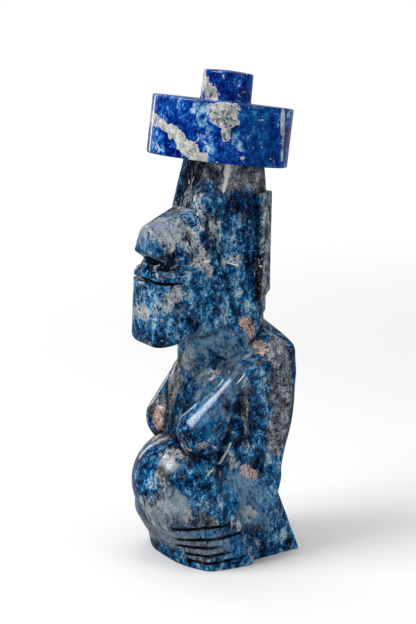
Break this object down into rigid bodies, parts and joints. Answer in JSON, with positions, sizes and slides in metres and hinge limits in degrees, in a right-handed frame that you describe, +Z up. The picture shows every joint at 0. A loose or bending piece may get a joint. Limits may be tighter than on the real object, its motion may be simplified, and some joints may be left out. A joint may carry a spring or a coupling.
{
  "type": "moai stone head statue",
  "caption": "Standing moai figure carved in polished blue stone, with a long heavy-jawed head, hands under a round belly, a wedge plinth behind and a flat round topknot hat with a knob.",
  "frame": {"origin": "on the ground under the middle of the piece's bounding box", "axes": "+Z up, the figure faces -Y, its left hand is on +X"},
  "size_m": [0.057, 0.0678, 0.1996],
  "materials": {
    "figure_stone": "polished mottled blue and grey stone",
    "hat_stone": "polished royal blue stone with white veins"
  },
  "bodies": {
    "root": {"moai_figure": "figure_stone", "topknot_hat": "hat_stone"}
  },
  "joints": []
}
